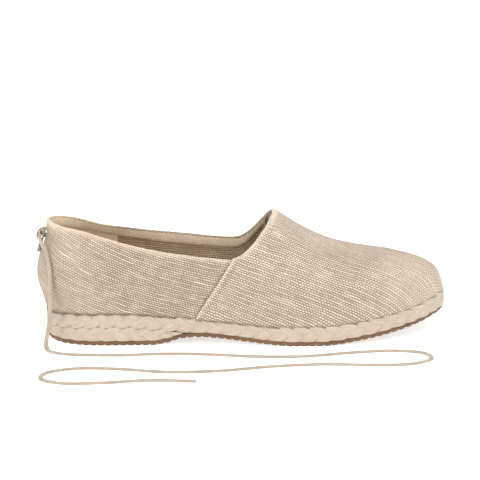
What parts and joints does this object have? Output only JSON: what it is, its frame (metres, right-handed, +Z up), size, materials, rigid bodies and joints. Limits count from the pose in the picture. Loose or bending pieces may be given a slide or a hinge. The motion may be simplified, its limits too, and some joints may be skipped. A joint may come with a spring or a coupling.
{
  "type": "espadrille",
  "caption": "Flat slip-on linen shoe on a braided jute sole with a thin rubber tread, a heel pull loop and long ankle ties that lie on the floor.",
  "frame": {"origin": "on the floor under the middle of the shoe's bounding box, ties left out", "axes": "+X towards the toe, +Y towards the big-toe (medial) side, +Z up"},
  "size_m": [0.2648, 0.2223, 0.0813],
  "materials": {
    "rubber": "matt gum rubber with a finely ribbed edge",
    "jute": "pale braided jute",
    "linen": "plain-weave natural linen with slubs",
    "footbed": "cotton-covered insole board",
    "suede": "soft flat suede lace, matt"
  },
  "bodies": {
    "root": {"outsole": "rubber", "heel_lift": "jute", "midsole": "jute", "insole": "footbed", "upper": "linen", "pull_loop": "suede", "tie_lateral": "suede", "tie_medial": "suede"}
  },
  "joints": []
}
